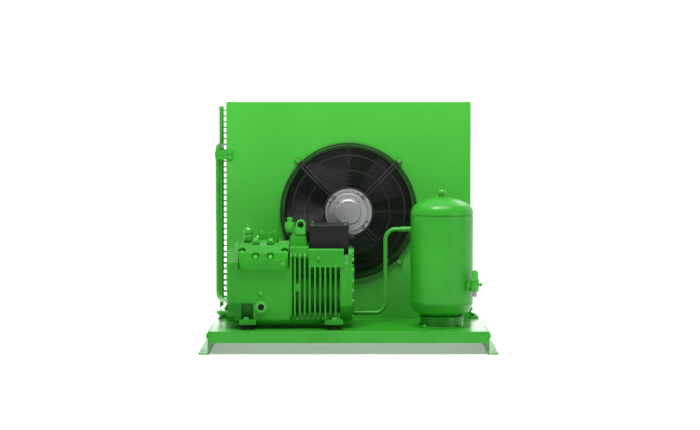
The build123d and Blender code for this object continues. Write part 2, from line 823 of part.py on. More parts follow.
left_edge = [(COMP_FRONT + 12, z) for z in (190, 226, 262, 298)]
left_edge += [(COMP_FRONT + 52, 126), (COMP_FRONT + 56, 338)]
right_edge = [(COMP_FRONT + 18, z) for z in (176, 212, 248, 284, 320)]
right_edge += [(COMP_FRONT + 64, 118), (COMP_Y - 52, 345)]
left_screw_planes = []
right_screw_planes = []
for side in (1, -1):
    for y, z in left_edge:
        point = (COMP_LEFT - cover_thick, COMP_Y - side * (COMP_Y - y), z)
        left_screw_planes.append(looking(point, (-1, 0, 0)))
    for y, z in right_edge:
        point = (end_flange_right + 12, COMP_Y - side * (COMP_Y - y), z)
        right_screw_planes.append(looking(point, (1, 0, 0)))
left_screws = hex_heads(left_screw_planes, 13, 6)
right_screws = hex_heads(right_screw_planes, 13, 7)
with BuildPart() as cover_screws:
    add(left_screws)
    add(right_screws)
save(cover_screws.part, "cover_screws")

GLASS_X = -303.0
GLASS_Z = 157.0
glass_plane = Plane(origin=(GLASS_X, 0, GLASS_Z), x_dir=(1, 0, 0), z_dir=(0, 0, 1))
glass_axis = Axis((GLASS_X, 0, GLASS_Z), (0, 1, 0))
ring_front = COMP_FRONT - 7
glass_radius = 11.0
glass_back = COMP_FRONT - 1
sight_glass_ring = turned(
    [
        (glass_radius, glass_back),
        (glass_radius, ring_front),
        (17, ring_front),
        (18, COMP_FRONT - 3),
        (22, COMP_FRONT - 2),
        (22, COMP_FRONT),
        (0, COMP_FRONT),
        (0, glass_back),
    ],
    glass_plane,
    glass_axis,
)
save(sight_glass_ring, "sight_glass_ring")
glass_front = COMP_FRONT - 5
sight_glass = turned(
    [(0, glass_back), (glass_radius, glass_back), (glass_radius, glass_front), (0, glass_front)],
    glass_plane,
    glass_axis,
)
save(sight_glass, "sight_glass")
plug_planes = [
    looking((-304, COMP_FRONT, 206), (0, -1, 0)),
    looking((-105, fin_front + 2, 328), (0, -1, 0)),
]
save(hex_heads(plug_planes, 13, 4), "oil_plugs")

# crank gear and motor inside the compressor
crank_throw = 22.0
pin_radius = 15.0
web_radius = 38.0
shaft_left = COMP_LEFT - 4
rotor_left = -165.0
rotor_right = -55.0
motor_rotor_radius = 50.0
with BuildPart() as crankshaft:
    for x0, x1, radius, throw in (
        (shaft_left, -372, journal_radius, 0),
        (-372, -362, web_radius, 0),
        (-362, -318, pin_radius, crank_throw),
        (-318, -284, web_radius, 0),
        (-284, -240, pin_radius, -crank_throw),
        (-240, -230, web_radius, 0),
        (-230, rotor_right + 12, journal_radius, 0),
    ):
        with BuildSketch(across(x0)):
            with Locations((COMP_Y, COMP_Z + throw)):
                Circle(radius)
        extrude(amount=x1 - x0)
save(crankshaft.part, "crankshaft")


def shaft_ring(outer, inner, x0, x1):
    """Ring round the crankshaft's axis."""
    return turned([(x0, inner), (x1, inner), (x1, outer), (x0, outer)], shaft_plane, shaft_axis)


bush_bore = journal_radius + RUNNING_GAP
with BuildPart() as crank_bearings:
    add(shaft_ring(bush_radius, bush_bore, COMP_LEFT - 6, COMP_LEFT + 18))
    add(shaft_ring(bush_radius, bush_bore, wall_left, BARREL_LEFT))
save(crank_bearings.part, "crank_bearings")
save(shaft_ring(motor_rotor_radius, journal_radius, rotor_left, rotor_right), "motor_rotor")
motor_stator = turned(
    [
        (rotor_left - 20, 58),
        (rotor_left, 58),
        (rotor_left, motor_rotor_radius + 1.5),
        (rotor_right, motor_rotor_radius + 1.5),
        (rotor_right, 58),
        (rotor_right + 20, 58),
        (rotor_right + 20, 76),
        (rotor_right, 80),
        (rotor_right, motor_cavity),
        (rotor_left, motor_cavity),
        (rotor_left, 80),
        (rotor_left - 20, 76),
    ],
    shaft_plane,
    shaft_axis,
)
save(motor_stator, "motor_stator")

crown = 112.0  # distance of each piston's crown from the shaft
piston_height = 34.0
piston_radius = bore_radius - RUNNING_GAP
with BuildPart() as front_pistons:
    for x in bore_x:
        with BuildSketch(Plane(
            origin=(x, COMP_Y - crown * sin(tilt), COMP_Z + crown * cos(tilt)),
            x_dir=(1, 0, 0),
            z_dir=(0, -sin(tilt), cos(tilt)),
        )):
            Circle(piston_radius)
        extrude(amount=-piston_height)
with BuildPart() as pistons:
    add(front_pistons.part)
    add(mirror(front_pistons.part, about=comp_mirror))
save(pistons.part, "pistons")

# terminal box on the motor
box_floor = 358.0
with BuildPart() as terminal_box:
    with BuildSketch(level(box_floor)):
        with Locations((-68.5, -170)):
            RectangleRounded(137, 170, 6)
    extrude(amount=68)
    with BuildSketch(level(box_floor + 4)):
        with Locations((-68.5, -170)):
            RectangleRounded(129, 162, 4)
    extrude(amount=64, mode=Mode.SUBTRACT)
save(terminal_box.part, "terminal_box")
with BuildPart() as terminal_cover:
    with BuildSketch(level(box_floor + 68)):
        with Locations((-68.5, -170)):
            RectangleRounded(140, 173, 7)
    extrude(amount=14)
    chamfer(terminal_cover.faces().sort_by(Axis.Z)[-1].edges(), 3)
save(terminal_cover.part, "terminal_cover")
terminal_corners = [(-68.5 + 58 * i, -170 + 75 * j) for i in (-1, 1) for j in (-1, 1)]
terminal_screw_planes = [looking((x, y, box_floor + 82), (0, 0, 1)) for x, y in terminal_corners]
save(hex_heads(terminal_screw_planes, 8, 3), "terminal_screws")
with BuildPart() as cable_glands:
    for y in (-205, -160):
        with BuildSketch(across(0)):
            with Locations((y, box_floor + 34)):
                RegularPolygon(13, 6)
        extrude(amount=8)
        with BuildSketch(across(8)):
            with Locations((y, box_floor + 34)):
                Circle(11)
        extrude(amount=14)
save(cable_glands.part, "cable_glands")

# feet
with BuildPart() as dampers:
    with BuildSketch(level(TRAY_TOP)):
        for x in (FOOT_X[0] + 6, FOOT_X[1] + 3):
            with Locations(*[(x, y) for y in FOOT_Y]):
                Circle(22)
    extrude(amount=DAMPER_HEIGHT)
save(dampers.part, "dampers")
foot_bolt_planes = [
    looking((x, y, 113), (0, 0, 1))
    for x, y in (
        (FOOT_X[0], FOOT_Y[0] + 2),
        (FOOT_X[0], FOOT_Y[1] - 2),
        (FOOT_X[1] + 2, FOOT_Y[0] - 10),
        (FOOT_X[1] + 2, FOOT_Y[1] + 10),
    )
]
save(hex_heads(foot_bolt_planes, 17, 9), "foot_bolts")

# ---------------------------------------------------------------- shut-off valves
port_x = -166.5
port_z = 440.0
port_radius = 11.0
port_depth = 44.0
pot_x = -204.5
valve_y = -215.0
neck_x = -173.5
spindle_radius = 5.0
spindle_bore = spindle_radius + RUNNING_GAP
port_front = valve_y - 30

flange_thick = 7.0
pot_radius = 17.5
pot_top = 445.0
with BuildPart() as suction_valve_body:
    with BuildSketch(level(neck_top)):
        with Locations((neck_x, valve_y)):
            RectangleRounded(46, 46, 9)
    extrude(amount=flange_thick)
    with BuildSketch(facing(valve_y + 24)):
        with Locations((port_x, 424)):
            Rectangle(33, 32)
        with Locations((port_x, port_z)):
            Circle(16.5)
    extrude(amount=54)
    with BuildSketch(facing(valve_y + 12)):
        with Locations((-188, 422)):
            Rectangle(30, 22)
    extrude(amount=24)
    with BuildSketch(level(412)):
        with Locations((pot_x, valve_y)):
            Circle(12)
    extrude(amount=11, taper=-26)
    with BuildSketch(level(423)):
        with Locations((pot_x, valve_y)):
            Circle(pot_radius)
    extrude(amount=pot_top - 423)
    with BuildSketch(level(416)):
        with Locations((pot_x, valve_y)):
            Circle(spindle_bore)
    extrude(amount=pot_top - 416, mode=Mode.SUBTRACT)
    with BuildSketch(facing(port_front)):
        with Locations((port_x, port_z)):
            Circle(port_radius)
    extrude(amount=-port_depth, mode=Mode.SUBTRACT)
save(suction_valve_body.part, "suction_valve_body")


def spindle(x, y, z0, z1, radius):
    """Valve spindle with a square end, turned with a key when the cap is off."""
    with BuildPart() as piece:
        with BuildSketch(level(z0)):
            with Locations((x, y)):
                Circle(radius)
        extrude(amount=(z1 - z0) * 0.6)
        with BuildSketch(level(z0 + (z1 - z0) * 0.6)):
            with Locations((x, y)):
                Rectangle(radius * 1.3, radius * 1.3)
        extrude(amount=(z1 - z0) * 0.4)
    return piece.part


save(spindle(pot_x, valve_y, 417, 443, spindle_radius), "suction_valve_spindle")
suction_cap = [(0, 445), (17, 445), (17, 447), (9.5, 448), (9.5, 456), (10.5, 457), (10.5, 462), (9, 463.5)]
suction_cap.append((0, 463.5))
save(column(suction_cap, pot_x, valve_y), "suction_valve_cap")

discharge_x = -352.0
discharge_z = 390.0
discharge_port_y = COMP_Y + 34
small_spindle = 4.0
small_bore = small_spindle + RUNNING_GAP
with BuildPart() as discharge_valve_body:
    with BuildSketch(level(378)):
        with Locations((discharge_x, COMP_Y)):
            Circle(15)
    extrude(amount=24)
    with BuildSketch(facing(discharge_port_y)):
        with Locations((discharge_x, discharge_z)):
            Circle(9)
    extrude(amount=34)
    with BuildSketch(level(384)):
        with Locations((discharge_x, COMP_Y)):
            Circle(small_bore)
    extrude(amount=18, mode=Mode.SUBTRACT)
save(discharge_valve_body.part, "discharge_valve_body")
save(spindle(discharge_x, COMP_Y, 385, 401, small_spindle), "discharge_valve_spindle")
discharge_cap = [(0, 402), (12, 402), (15.5, 407), (15.5, 419), (9, 427), (3.5, 428), (3, 441), (0, 442)]
save(column(discharge_cap, discharge_x, COMP_Y), "discharge_valve_cap")

# ---------------------------------------------------------------- receiver
shell_top = 535.0


def vessel(radius, low, high, top, bottom):
    """Closed upright vessel: a straight shell with a domed head and a shallower bottom."""
    knuckle = 26.0
    with BuildPart() as piece:
        with BuildSketch(upright(RECEIVER_X, RECEIVER_Y)):
            with BuildLine():
                lower_head = [(radius - 42, bottom + 6), (radius - 13, low - 28), (radius, low)]
                Polyline((0, top), (0, bottom), *lower_head, (radius, high))
                shoulder = (radius - 13, high + knuckle + 5)
                ThreePointArc((radius, high), (radius - 4, high + 18), shoulder)
                rise = top - shoulder[1]
                crown = (shoulder[0] ** 2 + rise**2) / (2 * rise)
                half_turn = asin(shoulder[0] / crown) / 2
                halfway = (crown * sin(half_turn), top - crown + crown * cos(half_turn))
                ThreePointArc(shoulder, halfway, (0, top))
            make_face()
        revolve(axis=upright_axis(RECEIVER_X, RECEIVER_Y))
    return piece.part


seam_width = 4.0
seam_depth = 2.0
with BuildPart() as receiver_shell:
    add(vessel(RECEIVER_RADIUS, RECEIVER_LOW, RECEIVER_HIGH, shell_top, RECEIVER_LOW - 49))
    add(
        vessel(
            RECEIVER_RADIUS - RECEIVER_WALL,
            RECEIVER_LOW,
            RECEIVER_HIGH,
            shell_top - RECEIVER_WALL,
            RECEIVER_LOW - 49 + RECEIVER_WALL,
        ),
        mode=Mode.SUBTRACT,
    )
    for z in (RECEIVER_LOW + 3, RECEIVER_HIGH - 3):
        with BuildSketch(level(z - seam_width / 2)):
            with Locations((RECEIVER_X, RECEIVER_Y)):
                Circle(RECEIVER_RADIUS + 5)
                Circle(RECEIVER_RADIUS - seam_depth, mode=Mode.SUBTRACT)
        extrude(amount=seam_width, mode=Mode.SUBTRACT)
save(receiver_shell.part, "receiver_shell")

foot_radius = 76.0
receiver_foot = column(
    [
        (foot_radius - 4, RECEIVER_LOW - 46),
        (foot_radius, RECEIVER_LOW - 42.5),
        (foot_radius, TRAY_TOP + 4),
        (foot_radius + 22, TRAY_TOP + 4),
        (foot_radius + 22, TRAY_TOP),
        (foot_radius - 4, TRAY_TOP),
    ],
    RECEIVER_X,
    RECEIVER_Y,
)
save(receiver_foot, "receiver_foot")
receiver_screw_planes = [
    looking(
        (
            RECEIVER_X + (foot_radius + 11) * cos(radians(a)),
            RECEIVER_Y + (foot_radius + 11) * sin(radians(a)),
            TRAY_TOP + 4,
        ),
        (0, 0, 1),
    )
    for a in (45, 135, 225, 315)
]
save(hex_heads(receiver_screw_planes, 13, 7), "receiver_screws")
plug_profile = [(0, shell_top), (11, shell_top - 0.6), (11, 545), (15, 546), (15, 555), (12, 559), (0, 559)]
save(column(plug_profile, RECEIVER_X, RECEIVER_Y), "receiver_plug")

valve_turn = 35.0  # outlet valve's direction, from +X towards the front
valve_reach = 137.0
out_x = cos(radians(valve_turn))
out_y = -sin(radians(valve_turn))
outlet_x = RECEIVER_X + valve_reach * out_x
outlet_y = RECEIVER_Y + valve_reach * out_y
valve_z = 226.0
stub_bore = 6.5
stub_length = 18.0


def radial(reach):
    """Plane square to the valve's direction, at a distance from the receiver's axis."""
    point = (RECEIVER_X + reach * out_x, RECEIVER_Y + reach * out_y, valve_z)
    return Plane(origin=point, x_dir=(0, 0, 1), z_dir=(out_x, out_y, 0))


with BuildPart() as receiver_valve_body:
    with BuildSketch(radial(RECEIVER_RADIUS - 0.6)):
        Circle(10)
    extrude(amount=18)
    with BuildSketch(radial(RECEIVER_RADIUS + 3)):
        RegularPolygon(14, 6, major_radius=False)
    extrude(amount=9)
    with BuildSketch(level(208)):
        with Locations((outlet_x, outlet_y)):
            Circle(14)
    extrude(amount=38)
    with BuildSketch(across(outlet_x)):
        with Locations((outlet_y, 232)):
            Circle(5)
    extrude(amount=18)
    with BuildSketch(level(216)):
        with Locations((outlet_x, outlet_y)):
            Circle(small_bore)
    extrude(amount=30, mode=Mode.SUBTRACT)
save(receiver_valve_body.part, "receiver_valve_body")
save(spindle(outlet_x, outlet_y, 217, 244, small_spindle), "receiver_valve_spindle")
bullet = [(0, 246), (15, 246), (15, 250), (12, 251), (12, 272), (9, 280), (0, 284.5)]
with BuildPart() as receiver_valve_caps:
    add(column(bullet, outlet_x, outlet_y))
    with BuildSketch(across(outlet_x + 18)):
        with Locations((outlet_y, 232)):
            RegularPolygon(7, 6)
    extrude(amount=8)
save(receiver_valve_caps.part, "receiver_valve_caps")
stub_profile = [(stub_bore, 208), (8, 208), (8, 208 - stub_length), (stub_bore, 208 - stub_length)]
save(column(stub_profile, outlet_x, outlet_y), "outlet_stub")

# ---------------------------------------------------------------- pipes
def pipe(route, bends, radius):
    """Bent tube along straight runs joined by tangent arcs."""
    with BuildPart() as piece:
        with BuildLine() as path:
            FilletPolyline(*route, radius=bends)
        with BuildSketch(Plane(origin=path.wire() @ 0, z_dir=path.wire() % 0)):
            Circle(radius)
        sweep()
    return piece.part


hot_x = -476.0
hot_y = 180.0
hook_z = 703.0
hot_route = [
    (discharge_x, discharge_port_y, discharge_z),
    (discharge_x, -8, discharge_z),
    (discharge_x, -8, 148),
    (-428, 10, 148),
    (hot_x, hot_y, 148),
    (hot_x, hot_y, hook_z),
    (HEADER_X, header_y - HEADER_RADIUS, hook_z),
]
discharge_line = pipe(hot_route, [30, 30, 34, 34, 16], HOT_PIPE_RADIUS)
save(discharge_line, "discharge_line")

liquid_y = -10.0
low_z = 111.0
riser_x = 132.0
inlet_z = 411.0
liquid_route = [
    (HEADER_X, liquid_header_y, outlet_z + 12),
    (HEADER_X, liquid_header_y, low_z - 2),
    (HEADER_X, liquid_y, low_z),
    (riser_x, liquid_y, low_z),
    (riser_x, liquid_y, inlet_z),
    (RECEIVER_X, liquid_y, inlet_z),
    (RECEIVER_X, RECEIVER_Y + RECEIVER_RADIUS - 0.5, inlet_z),
]
with BuildPart() as liquid_line:
    add(pipe(liquid_route, [9, 26, 38, 38, 34], LIQUID_PIPE_RADIUS))
    with BuildSketch(across(188)):
        with Locations((liquid_y, inlet_z)):
            Circle(LIQUID_PIPE_RADIUS + 1.8)
    extrude(amount=32)
save(liquid_line.part, "liquid_line")

clamp_z = 674.0
with BuildPart() as pipe_clamp:
    with BuildSketch(facing(PANEL_FRONT)):
        with Locations((-447, clamp_z)):
            Rectangle(64, 34)
    extrude(amount=3)
    with BuildSketch(level(clamp_z - 10)):
        Polygon((-479, PANEL_FRONT), (-475, PANEL_FRONT), (-466, hot_y - 9), (-470, hot_y - 9))
    extrude(amount=20)
    with BuildSketch(level(clamp_z - 10)):
        with Locations((hot_x, hot_y)):
            Circle(HOT_PIPE_RADIUS + 3)
            Circle(HOT_PIPE_RADIUS, mode=Mode.SUBTRACT)
    extrude(amount=20)
save(pipe_clamp.part, "pipe_clamp")
clamp_screw_planes = [
    looking((-429, PANEL_FRONT - 3, clamp_z + 9), (0, -1, 0)),
    looking((-429, PANEL_FRONT - 3, clamp_z - 9), (0, -1, 0)),
]
save(hex_heads(clamp_screw_planes, 10, 5), "clamp_screws")
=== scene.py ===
# %% [markdown]
# # Dressing a refrigeration condensing unit
# The metal parts arrive from CAD as a imported model: every casting, sheet and pipe is already in its place.
# This notebook gives them their finishes, and adds what is too fine for the CAD model: the wires of the fan
# guard, the bolts of the fan motor and dark discs of painted shade for its holes, the washers under the
# screws and the welds of the receiver.

# %% Load the imported model
import json
import math
import random

import bmesh
import bpy
from mathutils import Matrix, Vector


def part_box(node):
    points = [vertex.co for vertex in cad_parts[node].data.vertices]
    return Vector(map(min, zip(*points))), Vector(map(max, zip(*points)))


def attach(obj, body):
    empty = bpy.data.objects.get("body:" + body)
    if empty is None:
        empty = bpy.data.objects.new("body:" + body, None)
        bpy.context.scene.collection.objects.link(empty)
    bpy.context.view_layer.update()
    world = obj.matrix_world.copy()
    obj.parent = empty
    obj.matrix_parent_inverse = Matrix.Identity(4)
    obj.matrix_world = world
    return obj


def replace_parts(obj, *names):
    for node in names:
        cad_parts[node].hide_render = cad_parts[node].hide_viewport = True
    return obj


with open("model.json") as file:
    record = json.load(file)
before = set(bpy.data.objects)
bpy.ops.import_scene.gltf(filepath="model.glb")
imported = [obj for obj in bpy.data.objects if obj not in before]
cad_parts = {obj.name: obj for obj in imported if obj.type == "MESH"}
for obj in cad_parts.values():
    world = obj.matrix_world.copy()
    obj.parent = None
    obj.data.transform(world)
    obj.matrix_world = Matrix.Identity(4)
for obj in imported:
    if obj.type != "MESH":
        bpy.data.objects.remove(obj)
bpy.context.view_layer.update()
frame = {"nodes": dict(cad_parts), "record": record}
scene = bpy.context.scene
MM = 0.001

# %% [markdown]
# ## One helper for all nodes
# Every finish below is a small graph of nodes, and so is the studio around the unit. One function adds a
# node, sets it up and links it, so each graph reads as a list of what is there. Colours are written as sRGB
# hex and turned linear in one place. Patterns are given by their real size, in millimetres.

# %% Material helpers
def hex_colour(text):
    """sRGB hex, such as 3FA034, as the linear colour that Blender works in."""
    parts = [int(text[i : i + 2], 16) / 255 for i in (0, 2, 4)]
    linear = [c / 12.92 if c <= 0.04045 else ((c + 0.055) / 1.055) ** 2.4 for c in parts]
    return (*linear, 1.0)


def node(mat, kind, links=None, **settings):
    """Add a node with its settings. Each entry of links feeds a socket, or sets it if it is a plain value."""
    made = mat.node_tree.nodes.new(kind)
    for key, value in settings.items():
        setattr(made, key, value)
    for key, value in (links or {}).items():
        socket = made.inputs[key]
        if isinstance(value, bpy.types.NodeSocket):
            mat.node_tree.links.new(value, socket)
        else:
            socket.default_value = value
    return made


def new_material(name, **shader):
    """Material with its shader, and its coordinates in metres of the object."""
    mat = bpy.data.materials.new(name)
    mat.use_nodes = True
    mat.node_tree.nodes.clear()
    principled = node(mat, "ShaderNodeBsdfPrincipled", shader)
    node(mat, "ShaderNodeOutputMaterial", {"Surface": principled.outputs["BSDF"]})
    place = node(mat, "ShaderNodeTexCoord")
    return mat, principled, place.outputs["Object"]


def noise(mat, place, size_mm, detail):
    """Cloudy pattern whose patches have that real size."""
    made = node(mat, "ShaderNodeTexNoise", {"Vector": place, "Scale": 1 / (size_mm * MM), "Detail": detail})
    return made.outputs["Fac"]


def stripes(mat, place, pitch_mm, axis):
    """Even bands across an axis, one pitch apart."""
    scale = math.tau / (20 * pitch_mm * MM)  # the wave texture multiplies its scale by 20
    made = node(mat, "ShaderNodeTexWave", {"Vector": place, "Scale": scale}, bands_direction=axis)
    return made.outputs["Fac"]


def stretched(mat, place, stretch):
    """Coordinates scaled along each axis, which draws a pattern out along the others."""
    return node(mat, "ShaderNodeMapping", {"Vector": place, "Scale": stretch}).outputs["Vector"]


def shades(mat, fac, *stops):
    """Colour ramp from (position, hex) stops."""
    ramp = node(mat, "ShaderNodeValToRGB", {"Fac": fac})
    for element, (where, text) in zip(ramp.color_ramp.elements, stops):
        element.position = where
        element.color = hex_colour(text)
    return ramp.outputs["Color"]


def blend(mat, share, first, second):
    """Mix of two colours, with that share of the second."""
    made = node(mat, "ShaderNodeMix", {"Factor": share}, data_type="RGBA")
    a, b = [socket for socket in made.inputs if socket.type == "RGBA"]
    mat.node_tree.links.new(first, a)
    mat.node_tree.links.new(second, b)
    return next(socket for socket in made.outputs if socket.type == "RGBA")


def paint(mat, principled, colour):
    """Feed a colour pattern into the shader."""
    mat.node_tree.links.new(colour, principled.inputs["Base Color"])


def vary_gloss(mat, principled, fac, low, high):
    """Let the roughness wander between two values with a pattern."""
    made = node(mat, "ShaderNodeMapRange", {"Value": fac, "To Min": low, "To Max": high})
    mat.node_tree.links.new(made.outputs["Result"], principled.inputs["Roughness"])


def bump(mat, principled, height, depth_mm, under=None):
    """Feed a height pattern of that depth into the shader's normal, over another bump if there is one."""
    links = {"Height": height, "Distance": depth_mm * MM, "Strength": 1.0}
    if under:
        links["Normal"] = under.outputs["Normal"]
    made = node(mat, "ShaderNodeBump", links)
    mat.node_tree.links.new(made.outputs["Normal"], principled.inputs["Normal"])
    return made


print("material helpers ready")

# %% [markdown]
# ## Camera, floor and light
# A long lens from far away keeps the unit's verticals parallel, as in a catalogue picture. The camera
# stands a little above the unit and looks slightly down. The light is a big soft box overhead, with weaker
# fills from the front and the sides. A lamp far behind keeps the floor white up to the horizon, and a low
# one reaches under the tray.

# %% Camera
CAMERA_DISTANCE = 8.88  # from the unit's middle, in metres
CAMERA_HEIGHT = 0.925
FOCAL_MM = 127.8
LOOK_DOWN = 2.99  # degrees
LOOK_ASIDE = 0.035

camera_data = bpy.data.cameras.new("camera")
camera_data.lens = FOCAL_MM
camera_data.sensor_width = 36
camera_data.clip_end = 60
camera = bpy.data.objects.new("camera", camera_data)
camera.location = (0, -CAMERA_DISTANCE, CAMERA_HEIGHT)
camera.rotation_euler = (math.radians(90 - LOOK_DOWN), 0, math.radians(-LOOK_ASIDE))
scene.collection.objects.link(camera)
scene.camera = camera
print("camera at", tuple(camera.location))

# %% Lamps and studio
scene.view_settings.view_transform = "Standard"


def softbox(name, place, target, size, watts):
    """White rectangular lamp that faces a point. Places and sizes are in metres."""
    data = bpy.data.lights.new(name, "AREA")
    data.shape = "RECTANGLE"
    data.size, data.size_y = size
    data.energy = watts
    lamp = bpy.data.objects.new(name, data)
    lamp.location = place
    lamp.rotation_euler = (Vector(target) - Vector(place)).to_track_quat("-Z", "Y").to_euler()
    scene.collection.objects.link(lamp)


softbox("key", (0.1, -1.15, 3.0), (0.05, 0, 0.45), (2.2, 0.8), 61)
softbox("right_fill", (2.6, -2.2, 1.3), (0.3, 0, 0.35), (0.9, 1.6), 15)
softbox("left_fill", (-2.6, -2.2, 1.5), (-0.2, 0, 0.4), (0.9, 1.6), 6)
softbox("back_fill", (0.0, 5.0, 3.6), (0, 5.6, 0.0), (5.0, 3.0), 210)
softbox("top_accent", (-0.25, -0.8, 2.2), (-0.1, -0.25, 0.3), (0.6, 0.3), 18)
softbox("floor_fill", (0.0, 1.1, 0.14), (0, -0.4, 0.0), (1.1, 0.16), 6)

# the studio is white behind the unit and dim behind the camera
WHITE_WALL = 1.05
DIM_WALL = 0.10
studio = bpy.data.worlds.new("studio")
studio.use_nodes = True
scene.world = studio
facing = node(studio, "ShaderNodeTexCoord")
split = node(studio, "ShaderNodeSeparateXYZ", {"Vector": facing.outputs["Generated"]})
limits = {"From Min": -0.35, "From Max": 0.45, "To Min": DIM_WALL, "To Max": WHITE_WALL}
fade = node(studio, "ShaderNodeMapRange", {"Value": split.outputs["Y"], **limits})
background = studio.node_tree.nodes["Background"]
background.inputs["Color"].default_value = hex_colour("FFFFFF")
studio.node_tree.links.new(fade.outputs["Result"], background.inputs["Strength"])


# %% Floor
FLOOR_HALF = 9.0  # metres, so that its edge is far outside the view
FLOOR_GLOW = 0.30  # the floor is a lit white sheet, which keeps shadows soft and pale


def floor_slab():
    """Wide white floor."""
    mesh = bpy.data.meshes.new("floor")
    corners = [(x * FLOOR_HALF, y * FLOOR_HALF, 0) for x, y in ((-1, -1), (1, -1), (1, 1), (-1, 1))]
    mesh.from_pydata(corners, [], [(0, 1, 2, 3)])
    obj = bpy.data.objects.new("floor", mesh)
    scene.collection.objects.link(obj)
    glow = {"Emission Color": hex_colour("FFFFFF"), "Emission Strength": FLOOR_GLOW}
    mat, principled, place = new_material("white_floor", Roughness=0.7, **glow)
    haze = noise(mat, place, 1250, 2.0)
    paint(mat, principled, shades(mat, haze, (0.0, "F6F6F6"), (1.0, "F8F8F8")))
    mesh.materials.append(mat)


floor_slab()
print("floor laid")

# %% [markdown]
# ## Sprayed enamel
# Nearly everything on the unit is sprayed in one coat of green machine enamel after assembly. On flat sheet
# the enamel is smooth, with a faint orange peel a few millimetres wide. On sand castings the grain of the
# mould shows through it and takes off the gloss. On drawn tube and machined valves it is glossier. One
# function makes all of them.

# %% Enamels
PEEL_MM = 5.0  # width of the orange peel
DRIFT_MM = 160  # width of the patches where the coat is thicker or thinner


def enamel(name, mid, dark, light, roughness, grain_mm, grain_depth, peel_depth, coat, gleam):
    """Green machine enamel over a base whose grain has the given size and depth."""
    gloss = {"Coat Weight": coat, "Coat Roughness": 0.25, "Specular IOR Level": gleam}
    mat, principled, place = new_material(name, **gloss)
    drift = shades(mat, noise(mat, place, DRIFT_MM, 3.0), (0.3, dark), (0.7, light))
    grain = noise(mat, place, grain_mm, 4.0)
    flecks = shades(mat, grain, (0.35, dark), (0.6, mid))
    paint(mat, principled, blend(mat, 0.35, drift, flecks))
    vary_gloss(mat, principled, grain, roughness - 0.05, roughness + 0.07)
    peel = bump(mat, principled, noise(mat, place, PEEL_MM, 1.0), peel_depth)
    bump(mat, principled, grain, grain_depth, under=peel)
    return mat


# slot: name, mid, dark and light shade, roughness, grain and its depth, peel's depth in mm, clear coat, gleam
ENAMELS = {
    "green_paint": (
        "enamel_on_folded_steel", "2E9C21", "29931D", "34A327",
        0.34, 3.0, 0.02, 0.03, 0.12, 0.3,
    ),
    "panel_paint": (
        "enamel_on_flat_sheet", "40AC33", "3DA830", "43B036",
        0.42, 4.0, 0.01, 0.02, 0.1, 0.3,
    ),
    "casting_paint": (
        "enamel_on_sand_casting", "319826", "2B8C20", "369E2A",
        0.42, 1.6, 0.06, 0.05, 0, 0.16,
    ),
    "valve_paint": (
        "enamel_on_machined_valve", "3DAA30", "38A12C", "42B035",
        0.33, 2.0, 0.02, 0.02, 0.2, 0.3,
    ),
    "painted_steel": (
        "enamel_on_screw_heads", "40AC34", "3AA32F", "46B43A",
        0.34, 2.0, 0.02, 0.01, 0.2, 0.3,
    ),
    "painted_copper": (
        "enamel_on_drawn_tube", "3CAA2F", "37A22B", "41B034",
        0.30, 4.0, 0.01, 0.01, 0.25, 0.3,
    ),
}
FINISH = {slot: enamel(*values) for slot, values in ENAMELS.items()}
print("enamels:", len(FINISH))

# %% [markdown]
# ## Other finishes
# The fan motor's end shield is die-cast aluminium: pale grey, softly mottled where the melt met the die.
# The blades are glass-filled nylon with a fine moulded grain, and the guard is powder-coated wire. The
# terminal box is moulded ABS. The dampers are natural rubber, dull and dusty. The coil's fins are aluminium
# foil that caught the green spray at their edges, and the dark gaps between them are painted shade.

# %% Metals
def metal(name, light, dark, roughness, grain_mm, stretch=(1, 1, 1), depth=0.01):
    """Bare metal with a mottled or, when stretched, a drawn or turned grain."""
    mat, principled, place = new_material(name, Metallic=1.0)
    grain = noise(mat, stretched(mat, place, stretch), grain_mm, 5.0)
    paint(mat, principled, shades(mat, grain, (0.3, dark), (0.7, light)))
    vary_gloss(mat, principled, grain, roughness - 0.08, roughness + 0.1)
    bump(mat, principled, grain, depth)
    return mat


FINISH["motor_aluminium"] = metal("die_cast_aluminium", "C4C4C6", "A9A9AB", 0.5, 6.0, depth=0.02)
FINISH["zinc_steel"] = metal("zinc_plated_steel", "B5B7B4", "8E918E", 0.38, 2.0)
FINISH["bare_iron"] = metal("machined_iron", "6E6E70", "4A4A4C", 0.42, 3.0, (8, 1, 1))
FINISH["bearing_brass"] = metal("turned_bearing_bronze", "C9A05A", "9C7636", 0.35, 2.0, (6, 1, 1))
FINISH["piston_aluminium"] = metal("turned_aluminium", "C6C7C9", "A3A4A6", 0.33, 2.0, (1, 1, 8))
FINISH["bare_copper"] = metal("dulled_copper", "BDABB6", "9C8B96", 0.5, 3.0, (1, 1, 0.2))
print("metals done")


# %% Plastics, rubber and glass
FLOW_MM = 70  # width of the patches where the melt flowed


def moulded(name, mid, dark, roughness, grain_mm, depth, **shader):
    """Moulded plastic, rubber or glass: one colour with a fine grain and a faint flow pattern."""
    mat, principled, place = new_material(name, **shader)
    grain = noise(mat, place, grain_mm, 4.0)
    flow = noise(mat, place, FLOW_MM, 2.0)
    paint(mat, principled, shades(mat, flow, (0.3, dark), (0.7, mid)))
    vary_gloss(mat, principled, grain, roughness - 0.06, roughness + 0.08)
    bump(mat, principled, grain, depth)
    return mat


